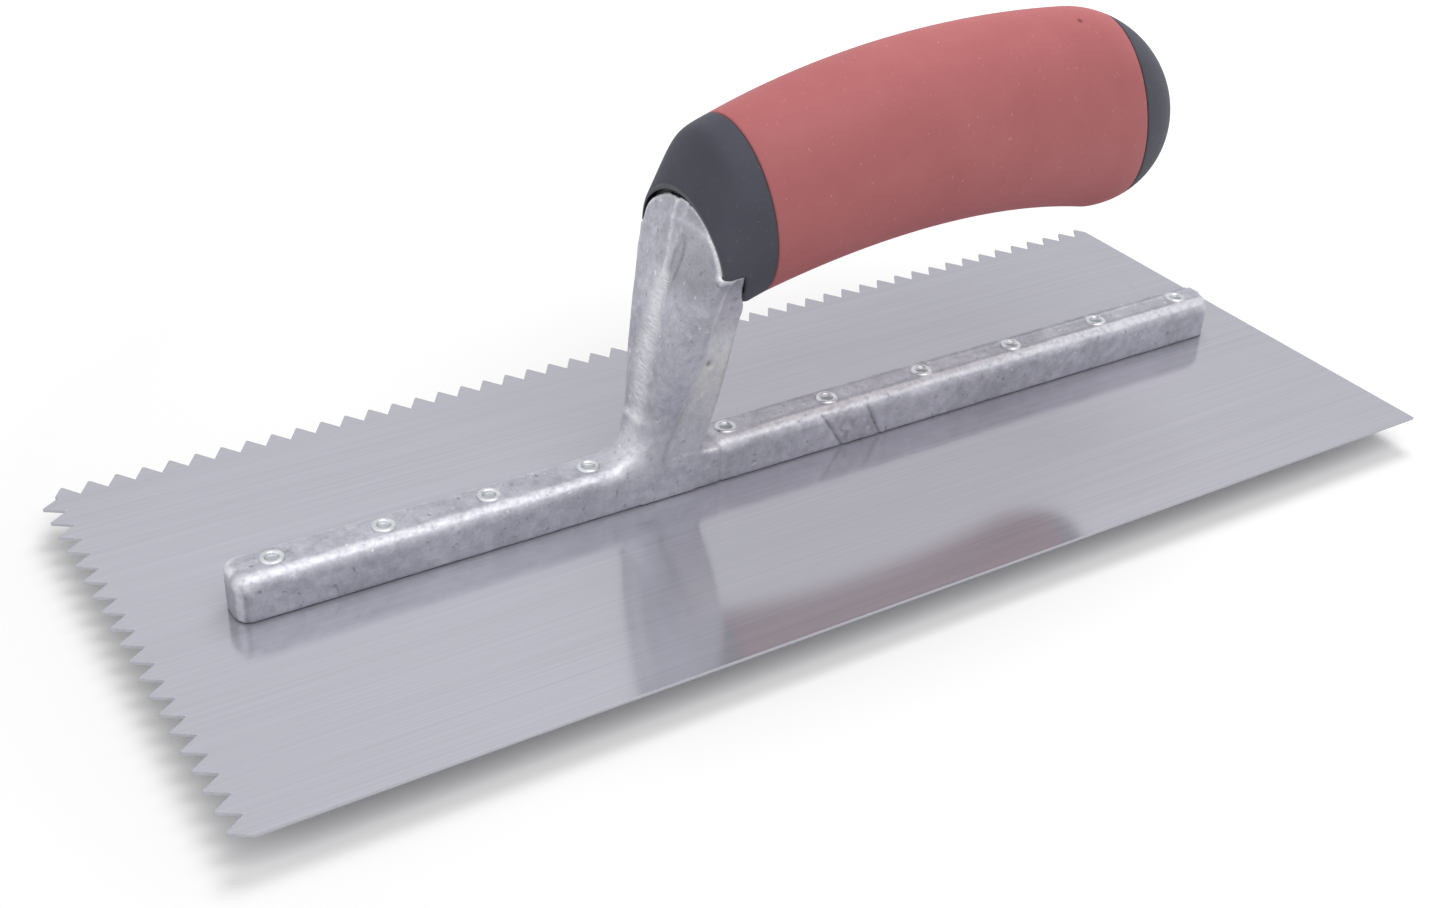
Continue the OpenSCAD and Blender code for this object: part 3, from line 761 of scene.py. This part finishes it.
def net_surface(field, origin, step):
    """Quads over the zero surface of a field on a grid (surface nets)."""
    inside = field < 0
    n = field.shape
    full = np.zeros([k - 1 for k in n], np.int8)
    offsets = [(i, j, k) for i in (0, 1) for j in (0, 1) for k in (0, 1)]
    for o in offsets:
        full += inside[o[0]:n[0] - 1 + o[0], o[1]:n[1] - 1 + o[1], o[2]:n[2] - 1 + o[2]]
    cells = np.argwhere((full > 0) & (full < 8))
    total, hits = np.zeros((len(cells), 3)), np.zeros(len(cells))
    for o in offsets:
        for axis in range(3):
            if o[axis]:
                continue
            a = cells + o
            b = a.copy()
            b[:, axis] += 1
            fa, fb = field[tuple(a.T)].astype(float), field[tuple(b.T)].astype(float)
            cross = (fa < 0) != (fb < 0)
            k = np.where(cross, fa / np.where(cross, fa - fb, 1), 0)
            spot = a.astype(float)
            spot[:, axis] += k
            total += spot * cross[:, None]
            hits += cross
    verts = origin + step * total / hits[:, None]
    index = np.full(full.shape, -1, np.int32)
    index[tuple(cells.T)] = np.arange(len(cells))
    quads = []
    for axis in range(3):
        u, v = (axis + 1) % 3, (axis + 2) % 3
        lead = [slice(1, -1)] * 3
        lead[axis] = slice(0, -1)
        next_one = list(lead)
        next_one[axis] = slice(1, None)
        first, second = inside[tuple(lead)], inside[tuple(next_one)]
        for flip, which in ((False, first & ~second), (True, second & ~first)):
            e = np.argwhere(which)
            e[:, u] += 1
            e[:, v] += 1
            corner = []
            for du, dv in ((-1, -1), (0, -1), (0, 0), (-1, 0)):
                cell = e.copy()
                cell[:, u] += du
                cell[:, v] += dv
                corner.append(index[tuple(cell.T)])
            quad = np.stack(corner, -1)
            quads.append(quad[:, ::-1] if flip else quad)
    return verts, np.concatenate(quads)


def casting_mesh():
    """Points and quads of the rail, shank and tang in one skin."""
    low = np.array([RAIL_X0 - 1.5, -17.0, -0.7])
    high = np.array([RAIL_X1 + 1.5, 17.0, 74.0])
    count = np.ceil((high - low) / VOXEL).astype(int)
    field = np.full(count, 9.0, np.float32)
    axes = [low[k] + VOXEL * np.arange(count[k]) for k in range(3)]

    def span(axis, a, b):
        return slice(*np.searchsorted(axes[axis], (a, b)))

    def grid(block):
        shapes = ((-1, 1, 1), (1, -1, 1), (1, 1, -1))
        return [axes[k][block[k]].reshape(shapes[k]) for k in range(3)]

    rail = (slice(None), span(1, -7, 7), span(2, -1, 13))
    field[rail] = rail_field(*grid(rail))
    shank = (span(0, -50, 4), slice(None), span(2, 5, 73))
    field[shank] = join(field[shank], shank_field(*grid(shank)), RAIL_FILLET)
    tang = (span(0, -30, 46), span(1, -7, 7), span(2, 44, 74))
    field[tang] = np.minimum(field[tang], tang_field(*grid(tang)))
    x, y, z = grid(rail)
    for i in range(1, RIVETS + 1):
        a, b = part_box(f"rivet_{i}")
        hole = np.hypot(x - (a.x + b.x) / 2 / MM, y) - RIVET_D / 2 - RIVET_SLACK
        field[rail] = np.maximum(field[rail], -hole)
    field[rail] = np.maximum(field[rail], BLADE_T - z)
    return net_surface(field, low, VOXEL)


# --- casting: marks -----------------------------------------------------------


class Skin:
    """A dense mesh whose points are smoothed and pushed about."""

    def __init__(self, obj):
        self.obj = obj
        mesh = obj.data
        self.co, self.no = points_of(obj)
        ends = np.zeros(len(mesh.edges) * 2, np.int32)
        mesh.edges.foreach_get("vertices", ends)
        self.a, self.b = ends.reshape(-1, 2).T
        n = len(self.co)
        self.count = np.bincount(self.a, minlength=n) + np.bincount(self.b, minlength=n)

    def mean(self, value):
        """The average of each point's neighbours."""
        n = len(self.co)
        total = np.bincount(self.a, value[self.b], n) + np.bincount(self.b, value[self.a], n)
        return total / self.count

    def pull(self):
        """The way from each point to the middle of its neighbours."""
        return np.stack([self.mean(self.co[:, k]) for k in range(3)], -1) - self.co

    def turn_normals(self):
        set_points(self.obj, self.co)
        self.no = points_of(self.obj)[1]

    def smooth(self, times, weight):
        for _ in range(times):
            self.co = self.co + self.pull() * (0.5 * weight)[:, None]
        self.turn_normals()

    def push(self, depth):
        self.co = self.co + self.no * depth[:, None]
        self.turn_normals()


def press_seam(skin, m):
    """The parting line stands proud, and below it a belt has ground it flat."""
    x, y, z = skin.co.T
    m.front = ease(-skin.no[:, 0], 0.35, 0.7) * (x < 0) * (z > RAIL_TOP + 1)
    wander = 0.08 * np.sin(z * 0.31) + 0.05 * np.sin(z * 0.9) + 0.16 * np.maximum(0, z - 51)
    m.flash = bell(y - wander, SEAM_HALF) * m.front * ease(z, *SEAM_Z) * (m.gap > -1.4)
    half = 2.2 + 1.0 * np.sin((z - 14) / 38 * math.pi) + 0.35 * np.sin(z * 1.3)
    ends = ease(z, *GROUND_Z0), 1 - ease(z, *GROUND_Z1)
    m.ground = np.clip(1.3 - np.abs(y + 0.2) / half, 0, 1) * m.front * ends[0] * ends[1]
    skin.push(SEAM_H * m.flash - GROUND_CUT * ease(m.ground, 0.1, 0.6))


def press_dents(skin, m):
    """A shallow drop-shaped dent beside the parting line, and a pit on the web."""
    _, y, z = skin.co.T
    drop_y = -2.7 - 0.05 * (z - 52)
    drop_w = 0.55 + 0.11 * (z - 47)
    rim = np.hypot((y - drop_y) / np.maximum(0.3, drop_w), (z - DENT_Z) / DENT_HALF_H)
    m.dent = bell(np.abs(rim - 1), DENT_RIM) * (m.front > 0.05) * (z > 46) * (z < 59) * (y < 0)
    m.side = (y < -2).astype(float)
    m.pit = bump_at(skin.co, PIT_AT, PIT_SIZE) * m.side
    skin.push(-DENT_CUT * m.dent - PIT_CUT * m.pit)


def press_rail(skin, m):
    """Fine ridges on the rail's rear top, and a broken gate on its near side."""
    x, y, z = skin.co.T
    m.top = ease(skin.no[:, 2], 0.75, 0.95) * ease(z, RAIL_TOP - 1, RAIL_TOP - 0.4)
    m.top = m.top * (z < RAIL_TOP + 1)
    m.rear = ease(x, -8, 0)
    ridges = bell(y - 2.2 - 0.12 * np.sin(x * 0.06), 0.3)
    ridges += 0.8 * bell(y - 3.3, 0.25)
    ridges += 0.5 * bell(y + 2.3 + 0.1 * np.sin(x * 0.09), 0.3)
    flank = ease(-skin.no[:, 1], 0.5, 0.8) * (z < RAIL_TOP + 0.5)
    m.torn = rough(skin.co, 1.6, 3, 4.0)
    d1 = line_dist(skin.co, *FRONT_CRACK) + 0.25 * np.abs(m.torn)
    d2 = line_dist(skin.co, *REAR_CRACK) + 0.2 * np.abs(m.torn)
    d2 = d2 + 0.15 * (1 - ease(z, 2.5, 6))
    m.cracks = (bell(d1, FRONT_CRACK_HALF) + bell(d2, REAR_CRACK_HALF)) * flank
    lean = (x - GATE_X) + (z - GATE_Z) * GATE_LEAN
    m.gate = ease(lean, 0, 1.2) * (1 - ease(lean, GATE_L, GATE_L + 1.2)) * flank
    nick = bump_at(skin.co, NICK_AT, NICK_SIZE)
    skin.push(RIDGE_H * (ridges * m.top * m.rear) - CRACK_CUT * m.cracks
              + m.gate * (0.05 + 0.13 * m.torn) + NICK_H * nick)


def lobe_line(z):
    """Where the shield's rear edge lies on the near side at height z."""
    return -23.3 - 0.0093 * (z - 41) ** 2 + 2.4 * ease(z, 40, 55)


def wear_and_painted_sheen(skin, m, bend):
    """Bright worn metal on convex edges and the parting flash, plus painted highlights: the
    rail's near top edge, the web's near side, the shield's rear edge, the rim by the collar,
    the bend and the heel's nose.
    """
    x, _, z = skin.co.T
    wear_and_sheen = ease(bend, 0.16, 0.55) * ease(z, 3.0, 5.0)
    ahead = -skin.no[:, 0] * (x < -28) * (1 - ease(z, 13, 18))
    outward, near = np.maximum(skin.no[:, 2], ahead), -skin.no[:, 1]
    # Painted highlight, partly wear: the rail's near top edge, picked by which way it faces,
    # fading towards the rear.
    band = ease(near, 0.15, 0.45) * (1 - ease(near, 0.72, 0.9)) * ease(outward, 0.3, 0.6)
    band = band * (z < 18) * (1 - 0.05 * ease(x, -30, 10))
    # Painted light: a lighter patch on the web's near side.
    heel = bump_at(skin.co, *HEEL_SHEEN) * m.side
    # Painted highlight, partly wear: a bright line along the shield's rear edge on the near
    # side.
    lobe = bell(x - lobe_line(z) - 0.4, 0.7) * m.side * ease(z, 14, 20) * (1 - ease(z, 48, 53))
    lobe = lobe * np.clip(0.8 + 0.9 * m.torn, 0, 1)
    # Painted highlight, partly a bright cut: a rim along the casting's edge by the collar.
    brim = bell(m.gap - 0.3, 0.3) * m.side * ease(z, 52, 56)
    # Painted highlight, partly wear: the bend that faces the light.
    elbow = bump_at(skin.co, *ELBOW_WEAR_AND_SHEEN)
    # Painted light, partly wear: lightens the heel's nose over the grip's dark reflection.
    nose = bump_at(skin.co, *NOSE_WEAR_AND_SHEEN) * (x > HEEL_X + 0.5)
    for more in (band, m.flash, 0.7 * heel, lobe, 0.5 * brim, elbow, 0.9 * nose):
        wear_and_sheen = np.maximum(wear_and_sheen, more)
    return wear_and_sheen * (1 - m.pit)


def dirt_and_painted_shade(skin, m, bend):
    """Darker in hollows; dark dirt in cracks, grooves, the pit, the dent and the gate; painted
    shade along the rail's foot, on the rail's front corner and end, and high on the shield's
    near side.
    """
    x, y, z = skin.co.T
    # Darker in hollows, and a painted contact shadow along the rail's foot on the blade.
    grime_and_shade = ease(-bend, 0.12, 0.6) * 0.7 + (1 - ease(z, 0.7, 1.2)) * 0.6
    grime_and_shade = np.maximum(grime_and_shade, np.maximum(m.cracks, m.pit)) + 0.5 * m.dent
    grime_and_shade = grime_and_shade + m.gate * np.clip(0.25 + 0.5 * m.torn, 0, 0.6)
    grooves = bell(y - 2.75, 0.3) + 0.6 * bell(y + 1.7, 0.3)
    grime_and_shade = grime_and_shade + 0.7 * grooves * m.top * m.rear
    # Painted shade: a dark streak on the rail's rounded front corner and a darker front end.
    corner = bell(skin.no[:, 0] + 0.5, 0.22) * (skin.no[:, 1] < -0.5) * (x < RAIL_X0 + 5)
    prow = 0.35 * ease(-skin.no[:, 0], 0.75, 0.95) * (x < RAIL_X0 + 4)
    grime_and_shade = grime_and_shade + np.maximum(0.7 * corner, prow) * (1 - ease(z, 6.5, 8.5))
    # Painted shade high on the shield's near side, under the collar.
    return grime_and_shade + 0.42 * ease(z, 46, 52) * m.side


def stained(skin, m):
    """A warm stain along the web's near side."""
    x, _, z = skin.co.T
    along_web = ease(x - lobe_line(z), 0.2, 2.0) * bell(z - 29, 11)
    return 0.6 * (1 - m.pit) * along_web * m.side * (x < 0)


def make_casting():
    verts, quads = casting_mesh()
    obj = mesh_from("casting", verts, quads.tolist())
    skin = Skin(obj)
    along, up = handle_axes(skin.co[:, 0], skin.co[:, 2])
    m = SimpleNamespace(gap=seat_u(up) - along)
    near_seat = (skin.co[:, 0] < 4) & (np.abs(m.gap) < 1.0) & (skin.co[:, 2] > 30)
    skin.smooth(3, np.where(near_seat, 0.6, 1.0))
    press_seam(skin, m)
    press_dents(skin, m)
    press_rail(skin, m)

    # As-cast waviness all over, held back at the collar.
    free = np.where(near_seat, 0.3, 1.0)
    skin.push(free * (WAVE_H * rough(skin.co, WAVE_SIZE, 2, 1.0)
                      + RIPPLE_H * rough(skin.co, RIPPLE_SIZE, 2, 2.0)))

    # How sharply the skin bends: above 0 on outer edges, below 0 in hollows.
    bend = -(skin.pull() * skin.no).sum(1) * 4 / VOXEL ** 2
    for _ in range(6):
        bend = skin.mean(bend)
    store(obj, "wear_and_sheen", wear_and_painted_sheen(skin, m, bend))
    store(obj, "grime_and_shade", dirt_and_painted_shade(skin, m, bend))
    store(obj, "ground", m.ground)
    store(obj, "stain", stained(skin, m))
    obj.data.shade_smooth()
    return piece(obj, ["mounting"], CAST)


# --- rivets -------------------------------------------------------------------


def make_rivet(i):
    """A tubular rivet: flush head below, a rolled and slightly uneven ring on top."""
    low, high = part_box(f"rivet_{i}")
    x = (low.x + high.x) / 2 / MM
    head, stem = RIVET_HEAD_D / 2, RIVET_D / 2
    mid = RING_R - RING_H
    bore = mid - RING_H
    profile = [(1.2, 0.03), (head - 0.12, 0.02), (head, 0.08),
               (stem, BLADE_T), (stem, RAIL_TOP - 1)]
    for a in range(-38, 181, 12):
        roll = math.radians(a)
        profile.append((mid + 0.02 + RING_H * math.cos(roll),
                        RAIL_TOP - 0.02 + RING_H * math.sin(roll)))
    profile += [(bore - 0.1, RAIL_TOP - 0.15), (bore - 0.2, RAIL_TOP - 0.22),
                (0.5, RAIL_TOP - 0.26)]
    turn = around(RIVET_SIDES)
    wave = np.sin(turn * 3 + i * 1.7) * 0.35 + np.sin(turn * 7 + i * 2.9) * 0.25
    deep = 0.65 if i <= FRONT_RIVETS else 1.0
    rows, dull = [], []
    for r, z in profile:
        ripple, lift = np.ones(RIVET_SIDES), np.zeros(RIVET_SIDES)
        if z > RAIL_TOP - 0.5 and r > bore - 0.1:
            ripple = 1 + 0.018 * wave + 0.012 * np.sin(turn + i)
            lift = 0.05 * np.sin(turn + i * 2.3) + 0.03 * wave
        rows.append(np.stack([x + r * ripple * np.cos(turn),
                              r * ripple * np.sin(turn), z + lift], -1))
        dull += [deep * float(z > 5 and r < bore - 0.05)] * RIVET_SIDES
    obj = loft(f"rolled_rivet_{i}", rows, "points", 45)
    store(obj, "dull", dull + [0.0, deep])
    return piece(obj, [f"rivet_{i}"], ZINC)


# --- handle pieces ------------------------------------------------------------


def make_grip():
    edge = round_rows(GRIP_EDGE_R)
    margin = GRIP_EDGE_R + 0.6
    rows = list(edge)
    rows += [(u, 0.0) for u in np.linspace(margin, GRIP_L - margin, 110)]
    rows += [(GRIP_L - step, inset) for step, inset in reversed(edge)]
    rows += [(GRIP_L, SEAM_DEPTH), (GRIP_L, SKIN)]
    rows += [(u, SKIN) for u in np.linspace(GRIP_L - 2, 2, 40)]
    rows += [(0.0, SKIN), (0.0, SEAM_DEPTH)]
    obj = loft("grip_sleeve_soft", handle_rows(rows, around(HANDLE_SIDES)))
    return piece(obj, ["grip_sleeve"], RED)


def make_collar():
    # Points round the collar lie closer together at the ledge.
    t = np.linspace(-math.pi / 2, 3 * math.pi / 2, 168, endpoint=False)
    base = skin_point(LIP_U, t, 0.0)[:, 2]
    ledge = t[(base < -LIP_END_W + 1.5) & (base > -CUT_W - 3)]
    t = np.unique(np.concatenate([t, ledge + 0.0093, ledge + 0.0187, ledge + 0.028]))

    rise = np.sin(t)
    lip = lip_wall(rise) - LIP_THINNER * ease(rise, 0.4, 0.95)
    wall = np.where(rise < -0.1, SKIN, lip)
    brow = BROW * ease(rise, 0.2, 0.9)
    edge = round_rows(COLLAR_EDGE_R)
    rows = [(collar_front(t, inset) - brow + step, inset) for step, inset in edge]
    front, back = rows[-1][0], -SEAM - COLLAR_EDGE_R
    rows += [(front + (back - front) * k, 0.0) for k in np.linspace(0, 1, 34)[1:]]
    rows += [(-SEAM - step, inset) for step, inset in edge[-2::-1]]
    rows.append((-SEAM, SEAM_DEPTH))
    inner = collar_front(t, wall)
    for k in np.linspace(0, 1, 14):
        rows.append((-SEAM + (inner + SEAM) * k, SKIN + (wall - SKIN) * k))
    for k in (0.75, 0.45):
        inset = COLLAR_EDGE_R + (wall - COLLAR_EDGE_R) * k
        rows.append((collar_front(t, inset) - brow * (1 - k), inset))
    obj = loft("front_collar_soft", handle_rows(rows, t))
    # Painted light: the rows round the lip's front edge are stored for a paler tone.
    lip_face_light = np.zeros((len(rows), len(t)))
    lip_face_light[:3] = lip_face_light[-3:] = 1.0
    store(obj, "edge", lip_face_light)
    return piece(obj, ["front_collar"], DARK)


def make_cap():
    start = GRIP_L + SEAM

    def dome(inset, count):
        """Places along the dome from its edge to its tip, at a depth below the skin."""
        reach = DOME_L - inset
        first = math.acos((start + GRIP_EDGE_R - DOME_U) / reach)
        return [DOME_U + reach * math.cos(a) for a in np.linspace(first, 0.02, count)]

    rows = [(u, SKIN) for u in reversed(dome(SKIN, 30))]
    rows += [(start, SKIN), (start, SEAM_DEPTH)]
    rows += [(start + step, inset) for step, inset in round_rows(GRIP_EDGE_R)[:-1]]
    rows += [(u, 0.0) for u in dome(0.0, 60)]
    obj = loft("end_cap_soft", handle_rows(rows, around(HANDLE_SIDES)), "points")
    co, no = points_of(obj)
    set_points(obj, co + no * NUB_H * bump_at(co, NUB_AT, NUB_SIZE)[:, None])
    return piece(obj, ["end_cap"], DARK)


make_blade()
make_casting()
for number in range(1, RIVETS + 1):
    make_rivet(number)
make_grip()
make_collar()
make_cap()
give(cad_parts["handle_core"], CORE)
give(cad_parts["handle_screw"], PLATED)
give(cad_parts["screw_washer"], PLATED)

# --- floor, light and camera --------------------------------------------------


def make_floor():
    s, z = FLOOR_HALF, FLOOR_Z
    mesh = bpy.data.meshes.new("floor")
    mesh.from_pydata([(-s, -s, z), (s, -s, z), (s, s, z), (-s, s, z)], [], [(0, 1, 2, 3)])
    floor = link("floor", mesh)
    p = Paint("floor_white").set(Roughness=0.9, Specular_IOR_Level=0.0)
    p.shade(p.ramp(p.noise(2.0, 2), [(0.0, (0.87,)), (1.0, (0.89,))]), "Base Color")
    # A glow for camera and mirror rays alone, weaker near the tool.
    glow, add = p.node("Emission"), p.node("AddShader")
    far = p.node("VectorMath", operation="LENGTH")
    p.feed(p.coord, far.inputs[0])
    level = p.ramp(far.outputs["Value"], FLOOR_GLOW)
    p.feed(p.math("MULTIPLY", p.backdrop(), level), glow.inputs["Strength"])
    p.feed(p.bsdf.outputs[0], add.inputs[0])
    p.feed(glow.outputs[0], add.inputs[1])
    p.feed(add.outputs[0], p.tree.nodes["Material Output"].inputs["Surface"])
    give(floor, p.mat)


def make_world():
    world = bpy.data.worlds.new("studio")
    bpy.context.scene.world = world
    world.use_nodes = True
    n = Nodes(world.node_tree)
    fill, white = n.tree.nodes["Background"], n.node("Background")
    for light, strength in ((fill, FILL), (white, 1.0)):
        light.inputs["Color"].default_value = (1, 1, 1, 1)
        light.inputs["Strength"].default_value = strength
    mix = n.node("MixShader")
    n.feed(n.backdrop(), mix.inputs[0])
    n.feed(fill.outputs[0], mix.inputs[1])
    n.feed(white.outputs[0], mix.inputs[2])
    n.feed(mix.outputs[0], n.tree.nodes["World Output"].inputs["Surface"])


def softbox(name, place, aim, size, power, glossy=True):
    light = bpy.data.lights.new(name, "AREA")
    light.shape = "RECTANGLE"
    light.size = light.size_y = size
    light.energy = power
    obj = link(name, light)
    obj.location = place
    obj.rotation_euler = (Vector(aim) - Vector(place)).to_track_quat("-Z", "Y").to_euler()
    obj.visible_glossy = glossy


def make_camera():
    data = bpy.data.cameras.new("camera")
    data.sensor_width = CAMERA_SENSOR
    data.lens = CAMERA_LENS
    data.clip_start = 0.01
    data.clip_end = 20.0
    cam = link("camera", data)
    cam.location = CAMERA_AT
    cam.rotation_euler = Euler([math.radians(a) for a in CAMERA_TURN], "XYZ")
    bpy.context.scene.camera = cam


make_floor()
make_world()
softbox("key_box", (0.02, -0.48, 0.92), (0, 0, 0), 0.75, 4.1)
softbox("left_box", (-0.72, -0.05, 0.62), (0, 0, 0.03), 0.6, 0.7)
softbox("rear_box", (0.38, 0.33, 0.90), (0, 0, 0), 0.5, 4.9, glossy=False)
make_camera()
bpy.context.scene.view_settings.view_transform = "Standard"
